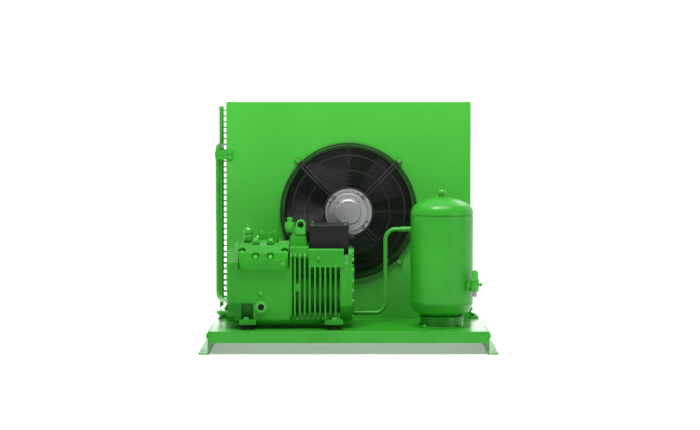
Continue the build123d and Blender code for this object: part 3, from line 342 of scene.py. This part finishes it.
DULL = {"Specular IOR Level": 0.3}
DEEP = {"Specular IOR Level": 0.2}
FINISH["blade_plastic"] = moulded("glass_filled_nylon", "2B2B2A", "222322", 0.55, 1.5, 0.03)
FINISH["guard_wire"] = moulded("black_powder_coat", "151615", "101110", 0.55, 1.0, 0.02)
# this black finish is the fan rotor's own colour, and it also serves as painted shade for the motor's holes
FINISH["rotor_steel"] = moulded("black_dipped_steel_and_hole_shade", "1E1E1F", "161617", 0.4, 2.0, 0.02)
FINISH["black_plastic"] = moulded("moulded_abs", "131314", "0F0F10", 0.56, 0.9, 0.04, **DULL)
FINISH["damper_rubber"] = moulded("natural_rubber", "1B1B1B", "131313", 0.72, 1.2, 0.05)
# the sight glass is opaque and near black: painted shade for the unlit inside of the crankcase seen through
# it
FINISH["glass"] = moulded("sight_glass_over_interior_shade", "020302", "010201", 0.25, 8.0, 0.002, **DEEP)
print("plastics done")


# %% Fin foil
FIN_PITCH_MM = 2.5
TUBE_ROW_MM = 25.4  # the rows of tubes show between the fins as paler bands


def fin_foil():
    """Foil fins: pale edges one pitch apart across the coil, over a dark gap between them that is painted
    shade.
    """
    mat, principled, place = new_material("aluminium_fin_foil_over_gap_shade", Metallic=0.35, Roughness=0.5)
    fins = stripes(mat, place, FIN_PITCH_MM, "X")
    rows = stripes(mat, place, TUBE_ROW_MM, "Z")
    # the dark colour of the gaps between the fins is painted shade; the paler bands are the rows of tubes,
    # and the darker spaces between them are painted shade too
    foil = shades(mat, fins, (0.35, "0B1F0B"), (0.8, "2F6B2C"))
    tube_rows_over_row_shade = shades(mat, rows, (0.1, "1B4216"), (0.5, "356F2F"))
    paint(mat, principled, blend(mat, 0.35, foil, tube_rows_over_row_shade))
    bump(mat, principled, fins, 0.6)
    return mat


FINISH["fin_foil"] = fin_foil()
print("finishes:", len(FINISH))

# %% [markdown]
# ## Dress the CAD nodes
# Each CAD node names the record's slot that it is finished in. The edges of a real casting or folded sheet
# are never sharp, and the thin highlight along them tells the eye how big the thing is. So most nodes get a
# weld and a small bevel, which leaves their flat faces where they are. The crankcase keeps the edges of its
# CAD model, since its deep fins are too close together for a bevel.

# %% Assign finishes and ease the edges
BEVEL_MM = {
    "front_head": 2.2, "rear_head": 2.2, "bearing_cover": 1.8, "motor_cover": 1.8, "valve_plates": 0.5,
    "terminal_box": 1.0, "terminal_cover": 0.8, "suction_valve_body": 1.2, "discharge_valve_body": 0.8,
    "suction_valve_cap": 0.8, "discharge_valve_cap": 0.8, "receiver_valve_body": 0.8,
    "receiver_valve_caps": 0.8, "receiver_plug": 0.8, "left_leg": 0.8, "right_leg": 0.8,
    "base_tray": 0.4, "receiver_foot": 0.8, "left_foot_bracket": 0.6, "right_foot_bracket": 0.6,
    "pipe_clamp": 0.5, "fan_motor": 0.8, "fan_panel": 0.4, "sight_glass_ring": 0.5, "fan_rotor": 0.6,
}
slot_of = {row["node"]: row["material_slot"] for row in frame["record"]["subparts"]}


def ease_edges(obj, width_mm):
    """Weld the CAD faces together and round their edges a little."""
    weld = obj.modifiers.new("weld", "WELD")
    weld.merge_threshold = 0.02 * MM
    edge = obj.modifiers.new("bevel", "BEVEL")
    edge.width = width_mm * MM
    edge.segments = 2
    edge.limit_method = "ANGLE"
    edge.angle_limit = math.radians(30)
    edge.harden_normals = True
    edge.use_clamp_overlap = True


for name, obj in frame["nodes"].items():
    obj.data.materials.clear()
    obj.data.materials.append(FINISH[slot_of[name]])
    if name in BEVEL_MM:
        ease_edges(obj, BEVEL_MM[name])
print("dressed:", len(frame["nodes"]), "nodes")

# %% [markdown]
# ## Tools for fine pieces
# Small hardware is turned, bent or hexagonal. A few helpers build all of it. One turns a profile about an
# axis, one bends round wire along points, and one makes a chamfered hexagon screw with its washer. The last
# one turns the finished mesh into a piece that rides on a body of the CAD model.

# %% Mesh helpers
def seat(point_mm, direction):
    """Matrix whose origin is the point and whose Z axis is the direction, in metres."""
    turn = Vector(direction).normalized().to_track_quat("Z", "Y").to_matrix().to_4x4()
    return Matrix.Translation(Vector(point_mm) * MM) @ turn


def circle(radius, height, count):
    """Points round the Z axis, from mm to metres."""
    turns = [math.tau * i / count for i in range(count)]
    return [Vector((radius * math.cos(turn), radius * math.sin(turn), height)) * MM for turn in turns]


def lathe(bm, place, profile, steps=32, closed=False):
    """Turn a profile of (radius, height) in mm about the Z axis of the matrix given."""
    rings = []
    for radius, height in profile:
        ring = circle(radius, height, steps if radius > 0 else 1)
        rings.append([bm.verts.new(place @ spot) for spot in ring])
    following = rings[1:] + rings[:1] if closed else rings[1:]
    for lower, upper in zip(rings, following):
        for i in range(steps):
            j = (i + 1) % steps
            low_edge = [lower[i % len(lower)], lower[j % len(lower)]]
            high_edge = [upper[j % len(upper)], upper[i % len(upper)]]
            corners = list(dict.fromkeys(low_edge + high_edge))
            if len(corners) > 2:
                bm.faces.new(corners)


def bridge(bm, lower, upper):
    """Quads between two rings with the same number of vertices."""
    for k, (low, high) in enumerate(zip(lower, upper)):
        j = (k + 1) % len(lower)
        bm.faces.new((low, lower[j], upper[j], high))


def wire_ring(bm, place, radius, height, wire, steps=96, sides=6):
    """Closed ring of round wire, at a height along the matrix's Z axis."""
    turns = [math.tau * k / sides for k in range(sides)]
    section = [(radius + wire * math.cos(turn), height + wire * math.sin(turn)) for turn in turns]
    lathe(bm, place, section, steps, closed=True)


def rod(bm, points_mm, radius, sides=10):
    """Round wire or tube along points in mm, with capped ends."""
    points = [Vector(p) * MM for p in points_mm]
    turns = [math.tau * k / sides for k in range(sides)]
    rings = []
    across = None
    for i, point in enumerate(points):
        ahead = (points[min(i + 1, len(points) - 1)] - points[max(i - 1, 0)]).normalized()
        across = across or ahead.orthogonal()
        across = (across - ahead * across.dot(ahead)).normalized()
        side = ahead.cross(across)
        offsets = [(across * math.cos(turn) + side * math.sin(turn)) * radius * MM for turn in turns]
        rings.append([bm.verts.new(point + offset) for offset in offsets])
    for lower, upper in zip(rings, rings[1:]):
        bridge(bm, lower, upper)
    bm.faces.new(rings[0][::-1])
    bm.faces.new(rings[-1])


def arc_points(centre, start, end, steps=8):
    """Points of the short arc about a centre from one point to another, in mm."""
    centre = Vector(centre)
    first = Vector(start) - centre
    last = Vector(end) - centre
    swing = first.angle(last)
    axis = first.cross(last).normalized()
    return [centre + Matrix.Rotation(swing * i / steps, 3, axis) @ first for i in range(steps + 1)]


def hex_screw(bm, place, flats, height, washer=True):
    """Hexagon head with a chamfered top, and a washer if wanted, standing on the matrix's plane."""
    foot = 0.0
    if washer:
        foot = 0.12 * flats
        rim = flats * 0.66 + 1.0
        lathe(bm, place, [(0, foot), (rim - 0.4, foot), (rim, foot - 0.4), (rim, -0.2), (0, -0.2)], 24)
    corner = flats / math.sqrt(3)
    crown = flats / 2 * 0.93
    shoulder = height - 0.10 * flats
    bottom = [bm.verts.new(place @ spot) for spot in circle(corner, foot, 6)]
    top = [bm.verts.new(place @ spot) for spot in circle(corner, shoulder, 6)]
    dome = [bm.verts.new(place @ spot) for spot in circle(crown, height, 12)]
    bridge(bm, bottom, top)
    for k in range(6):
        j = (k + 1) % 6
        bm.faces.new((top[k], dome[2 * k + 1], dome[2 * k]))
        bm.faces.new((top[k], top[j], dome[2 * j], dome[2 * k + 1]))
    bm.faces.new(dome)


def piece(name, bm, finish, sharp=35):
    """Finished mesh as an object riding on the unit's frame. Edges over the angle stay sharp."""
    bmesh.ops.recalc_face_normals(bm, faces=bm.faces)
    mesh = bpy.data.meshes.new(name)
    bm.to_mesh(mesh)
    bm.free()
    mesh.polygons.foreach_set("use_smooth", [True] * len(mesh.polygons))
    mesh.set_sharp_from_angle(angle=math.radians(sharp))
    mesh.materials.append(FINISH[finish])
    obj = bpy.data.objects.new(name, mesh)
    scene.collection.objects.link(obj)
    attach(obj, "frame")
    return obj


def span(name):
    """Lowest and highest corner of a CAD node, in mm."""
    low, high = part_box(name)
    return Vector(low) / MM, Vector(high) / MM


print("mesh helpers ready")

# %% [markdown]
# ## Screws
# The CAD model seats each screw as a plain hexagon. Every real one has a washer under it and a chamfered
# crown, which is what catches the light. Each hexagon is found as a loose part of its node. Its largest
# flat faces are its two ends, so their normal is its axis.

# %% Hexagon heads
def loose_parts(mesh):
    """Lists of the faces of each separate part of a mesh, found by joining vertices at the same place."""
    grid = 20000  # cells per metre, so that vertices closer than 0.05 mm are one
    parent = {}

    def root(key):
        while parent[key] != key:
            parent[key] = parent[parent[key]]
            key = parent[key]
        return key

    home = {}
    for face in mesh.polygons:
        keys = [tuple(round(c * grid) for c in mesh.vertices[index].co) for index in face.vertices]
        for key in keys:
            parent.setdefault(key, key)
        for key in keys[1:]:
            parent[root(key)] = root(keys[0])
        home[face.index] = keys[0]
    parts = {}
    for index, key in home.items():
        parts.setdefault(root(key), []).append(index)
    return list(parts.values())


def hexagons(name, inside):
    """Base point, axis, width over flats and height of each hexagon of a node, in mm."""
    obj = frame["nodes"][name]
    world = obj.matrix_world
    found = []
    for part in loose_parts(obj.data):
        faces = [obj.data.polygons[i] for i in part]
        spots = [world @ obj.data.vertices[i].co for face in faces for i in face.vertices]
        corners = [Vector(c) for c in {tuple(round(c, 6) for c in spot) for spot in spots}]
        middle = sum(corners, Vector()) / len(corners)
        totals = {}
        for face in faces:
            normal = (world.to_3x3() @ face.normal).normalized()
            key = tuple(round(c, 2) for c in normal)
            totals[key] = totals.get(key, 0) + face.area
        axis = Vector(max(totals, key=totals.get))
        if (middle - inside(middle)).dot(axis) < 0:
            axis = -axis
        heights = [(corner - middle).dot(axis) for corner in corners]
        reach = [(corner - middle - axis * height).length for corner, height in zip(corners, heights)]
        base = middle + axis * min(heights)
        found.append((base / MM, axis, max(reach) * math.sqrt(3) / MM, (max(heights) - min(heights)) / MM))
    return found


# for each node of screws, a point on the inner side of the surface that a screw at p stands on
comp_low, comp_high = span("compressor_housing")
comp_core = (comp_low + comp_high) / 2 * MM
SCREWS = {
    "base_screws": lambda p: Vector((0, p.y, p.z)),
    "bracket_screws": lambda p: Vector((0, p.y, p.z - 0.2)),
    "guard_screws": lambda p: Vector((p.x, 1, p.z)),
    "head_screws": lambda p: Vector((p.x, comp_core.y, 0.1)),
    "cover_screws": lambda p: Vector((comp_core.x, p.y, p.z)),
    "foot_bolts": lambda p: Vector((p.x, p.y, -1)),
    "receiver_screws": lambda p: Vector((p.x, p.y, -1)),
    "clamp_screws": lambda p: Vector((p.x, 1, p.z)),
    "oil_plugs": lambda p: Vector((p.x, 1, p.z)),
    "terminal_screws": lambda p: Vector((p.x, p.y, -1)),
}
WITHOUT_WASHER = ("oil_plugs", "terminal_screws")
for name, inside in SCREWS.items():
    made = bmesh.new()
    heads = hexagons(name, inside)
    for base, axis, flats, height in heads:
        hex_screw(made, seat(base, axis), flats, height, washer=name not in WITHOUT_WASHER)
    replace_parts(piece(name + "_detailed", made, slot_of[name]), name)
    print(name, len(heads), "heads, flats", round(heads[0][2], 1), "mm")

# %% [markdown]
# ## Fan guard and motor
# The guard is a basket of concentric wires on four double arms. It is flat in front of the motor and slopes
# back to the rim. The CAD model has the arms and the main rings, and the wires between them are added here.
# The motor's end shield gets the bolts that hold it in the basket, the blind holes of its other fixings as
# dark discs of painted shade, and its cable gland.

# %% Guard wires
guard_low = span("fan_guard")[0]
motor_low, motor_high = span("fan_motor")
hub = (motor_low + motor_high) / 2
motor_radius = (motor_high.x - motor_low.x) / 2
WIRE_RADIUS = 1.3
SPOKE_RADIUS = 1.6
WIRE_STEP = 7.6
RIM_RADIUS = 247
FLAT_RADIUS = 150
SCREW_RISE = 6  # from the rim's front to the back of its screws
WIRE_DEPTH = 5  # the rings lie this far behind the basket's front, and the spokes a wire further back
SPOKE_DEPTH = 8
rim_y = span("guard_screws")[1].y - SCREW_RISE


def basket_y(radius):
    """Front of the basket at a radius, in mm."""
    slope = (rim_y - guard_low.y) / (RIM_RADIUS - FLAT_RADIUS)
    return guard_low.y + max(radius - FLAT_RADIUS, 0) * slope


def fan_point(radius, degrees, y):
    """Point in front of the fan, in mm."""
    turn = math.radians(degrees)
    return (hub.x + radius * math.cos(turn), y, hub.z + radius * math.sin(turn))


def guard_wires():
    """Rings between the motor and the rim, and a pair of thin spokes on each side, above and below."""
    wires = bmesh.new()
    fan_place = seat((hub.x, 0, hub.z), (0, 1, 0))
    radius = motor_radius + 17
    while radius < RIM_RADIUS - 3:
        wire_ring(wires, fan_place, radius, basket_y(radius) + WIRE_DEPTH, WIRE_RADIUS)
        radius += WIRE_STEP
    for degrees in (0, 90, 180, 270):
        for gap in (-1.2, 1.2):
            reach = (motor_radius + 10, FLAT_RADIUS, RIM_RADIUS - 4)
            rod(wires, [fan_point(r, degrees + gap, basket_y(r) + SPOKE_DEPTH) for r in reach], SPOKE_RADIUS)
    piece("guard_wires", wires, "guard_wire")
    return radius


print("guard wires to", round(guard_wires()), "mm")

# %% Motor fixings
SHIELD_FRONT = motor_low.y  # front of the motor's cap
RING_DEPTH = 19  # from the cap's front back to the flange ring
CONE_DEPTH = 14  # and to the cone between them
BOLT_CIRCLE = motor_radius - 8.5
QUARTERS = (45, 135, 225, 315)


def shield_seat(radius, degrees, depth):
    """Seat on the front of the motor, facing forward."""
    return seat(fan_point(radius, degrees, SHIELD_FRONT + depth), (0, -1, 0))


def motor_screws():
    """Four bolts on the flange ring and four small screws on the cone."""
    screws = bmesh.new()
    for degrees in QUARTERS:
        hex_screw(screws, shield_seat(BOLT_CIRCLE, degrees, RING_DEPTH), 8.5, 6, washer=False)
        hex_screw(screws, shield_seat(53, degrees, CONE_DEPTH), 6, 2, washer=False)
    piece("motor_screws", screws, "zinc_steel")


def motor_hole_shade():
    """Blind holes of the flange ring and cap, and the recesses round the bolts, as dark discs of painted
    shade.
    """
    holes = bmesh.new()
    hole_shade_discs = [(motor_radius - 8, degrees + 17, RING_DEPTH, 3.2) for degrees in QUARTERS]
    hole_shade_discs += [(14, 41, 0, 1.9), (24, -121, 0, 1.9)]
    hole_shade_discs += [(BOLT_CIRCLE, degrees, RING_DEPTH, 7.0) for degrees in QUARTERS]
    for radius, degrees, depth, size in hole_shade_discs:
        lathe(holes, shield_seat(radius, degrees, depth), [(0, 0.15), (size - 0.3, 0.15), (size, -0.2)], 20)
    # the discs take the black finish of the fan rotor, as painted shade for the holes and recesses
    piece("motor_hole_shade", holes, "rotor_steel")


def motor_gland():
    """Cable gland under the end shield: nut, neck and seal."""
    gland = bmesh.new()
    nut = [(0, 0), (6, 0), (6, 6), (4.6, 7), (4.6, 13)]
    seal = [(3.4, 15), (3.4, 18), (0, 18)]
    lathe(gland, seat(fan_point(motor_radius - 3, -82, SHIELD_FRONT + 24), (0, 0, -1)), nut + seal, 24)
    piece("motor_gland", gland, "black_plastic")


motor_screws()
motor_hole_shade()
motor_gland()
print("motor radius", round(motor_radius, 1), "mm")

# %% [markdown]
# ## Coil, pipes and receiver
# The coil's return bends are round tube with a brazed collar at each end. The pipes have brazed sleeves at
# their joints. The receiver is welded to its foot and round its plug, and each weld shows as a low rippled
# bead.

# %% Return bends
BEND_COUNT = 17
TUBE_RADIUS = 5.0


def return_bends():
    """Two columns of bends, one for each row of tubes."""
    low, high = span("return_bends")
    bends = bmesh.new()
    pitch = (high.z - low.z - 2 * TUBE_RADIUS) / (2 * BEND_COUNT - 1)
    curl = pitch / 2
    turn_x = high.x - TUBE_RADIUS - curl
    collar = [(TUBE_RADIUS + 1.4, 0), (TUBE_RADIUS + 1.2, 1.6), (TUBE_RADIUS, 2.6)]
    for y in (low.y + TUBE_RADIUS, high.y - TUBE_RADIUS):
        for i in range(BEND_COUNT):
            z0 = low.z + TUBE_RADIUS + 2 * pitch * i
            z1 = z0 + pitch
            centre = (turn_x, y, z0 + curl)
            curve = arc_points(centre, (turn_x, y, z0), (turn_x + curl, y, z0 + curl), 5)
            curve += arc_points(centre, curve[-1], (turn_x, y, z1), 5)[1:]
            rod(bends, [(low.x, y, z0)] + curve + [(low.x, y, z1)], TUBE_RADIUS)
            for z in (z0, z1):
                lathe(bends, seat((low.x, y, z), (1, 0, 0)), collar, 16)
    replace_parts(piece("return_bends_detailed", bends, "painted_copper", sharp=60), "return_bends")
    return pitch


print("bend pitch", round(return_bends(), 1), "mm")


# %% Collars and welds
def sleeve(bm, middle, direction, radius, length):
    """Brazed sleeve round a pipe, with soft shoulders."""
    half = length / 2
    profile = [(radius - 1.6, -half - 1.2), (radius, -half), (radius, half), (radius - 1.6, half + 1.2)]
    lathe(bm, seat(middle, direction), profile, 24)


def weld_bead(bm, place, radius, height, bead, steps=160):
    """Rippled weld bead round an axis."""
    ripple = random.Random(3)
    rings = []
    for i in range(steps):
        turn = math.tau * i / steps
        swell = bead * (1 + 0.12 * math.sin(i * 1.9) + ripple.uniform(-0.06, 0.06))
        ring = []
        for k in range(6):
            angle = math.tau * k / 6
            out = radius + swell * math.cos(angle)
            up = height + swell * math.sin(angle)
            ring.append(bm.verts.new(place @ (Vector((out * math.cos(turn), out * math.sin(turn), up)) * MM)))
        rings.append(ring)
    for ring, following in zip(rings, rings[1:] + rings[:1]):
        bridge(bm, ring, following)


shell_low, shell_high = span("receiver_shell")
shell = (shell_low + shell_high) / 2
shell_radius = (shell_high.x - shell_low.x) / 2


def pipe_sleeves():
    """Sleeves on the hot gas pipe, at its elbow, and on the liquid pipe."""
    hot_low, hot_high = span("discharge_line")
    liquid_high = span("liquid_line")[1]
    hot_radius = 8
    liquid_radius = 7.5
    riser = (132, -10)  # the liquid pipe's upright run
    hot_x = hot_low.x + hot_radius
    hot_top = hot_high.z - hot_radius
    collars = bmesh.new()
    sleeve(collars, (hot_x, 180, hot_top - 34), (0, 0, 1), 9.4, 30)
    sleeve(collars, (hot_x + 3.5, 245, hot_top), (0.1, 1, 0), 9.2, 18)
    entry = (liquid_high.x - liquid_radius, shell.y + shell_radius + 7, liquid_high.z - liquid_radius)
    sleeve(collars, entry, (0, 1, 0), 9.6, 12)
    sleeve(collars, (*riser, 170), (0, 0, 1), 9.0, 20)
    piece("pipe_sleeves", collars, "painted_copper")


def receiver_welds():
    """Beads round the top of the foot and round the plug."""
    welds = bmesh.new()
    axis = seat((shell.x, shell.y, 0), (0, 0, 1))
    foot_top = span("receiver_foot")[1].z
    weld_bead(welds, axis, 76.5, foot_top - 3, 2.2)
    weld_bead(welds, axis, 11.5, shell_high.z - 0.4, 1.6, 60)
    piece("receiver_welds", welds, "green_paint")


pipe_sleeves()
receiver_welds()
print("receiver radius", round(shell_radius, 1), "mm")

# %% [markdown]
# ## Compressor hardware
# Small bolts and plugs that the CAD model leaves out: the four bolts of the casting between the heads, the
# flange bolts of the suction valve, a plug under the front head and the hexagons of the receiver's valve.
# The rubber dampers get their waist, and the cable glands their dome nuts.

# %% Small bolts and plugs
def small_bolts():
    """Bolts and plugs of the castings and valves."""
    up = (0, 0, 1)
    bolts = bmesh.new()
    hub_top = 408.7
    for x in (-304, -258):
        for y in (-190, -170):
            hex_screw(bolts, seat((x, y, hub_top), up), 9, 6)
    suction_low, suction_high = span("suction_valve_body")
    for x in (-192.5, -154.5):
        hex_screw(bolts, seat((x, suction_high.y - 28, suction_low.z + 7), up), 9, 6)
    tilt = math.radians(35)  # the cylinder bank's slope
    hex_screw(bolts, seat((-227, -312.3, 309.4), (0, -math.cos(tilt), -math.sin(tilt))), 10, 4)
    spindle_low, spindle_high = span("receiver_valve_spindle")
    valve = (spindle_low + spindle_high) / 2
    hex_screw(bolts, seat((valve.x, valve.y, 245.7), up), 30.5, 5.2, washer=False)
    hex_screw(bolts, seat((valve.x, valve.y - 13.6, 224), (0, -1, 0)), 13, 6, washer=False)
    piece("small_bolts", bolts, "painted_steel")


def waisted_dampers():
    """Rubber dampers, narrower at half height."""
    low, high = span("dampers")
    wide = 22
    tall = high.z - low.z
    lower = [(0, 0), (wide, 0), (wide, 3), (20.5, 4), (18.5, tall / 2)]
    upper = [(20.5, tall - 4), (wide, tall - 3), (wide, tall), (0, tall)]
    dampers = bmesh.new()
    for x in (low.x + wide, high.x - wide):
        for y in (low.y + wide, high.y - wide):
            lathe(dampers, seat((x, y, low.z), (0, 0, 1)), lower + upper, 32)
    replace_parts(piece("dampers_detailed", dampers, "damper_rubber"), "dampers")


def dome_glands():
    """Cable glands of the terminal box: a hexagon against the wall and a closed dome nut."""
    low, high = span("cable_glands")
    dome = [(11.5, 8), (11.5, 16), (10.5, 19), (7.5, 21.5), (6, 22), (6, 20), (0, 20)]
    glands = bmesh.new()
    for y in (low.y + 13, high.y - 13):
        place = seat((low.x, y, (low.z + high.z) / 2), (1, 0, 0))
        lathe(glands, place, dome, 12)
        hex_screw(glands, place, 24, 8, washer=False)
    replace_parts(piece("cable_glands_detailed", glands, "black_plastic"), "cable_glands")
    return low.x


small_bolts()
waisted_dampers()
print("glands at", round(dome_glands()), "mm")
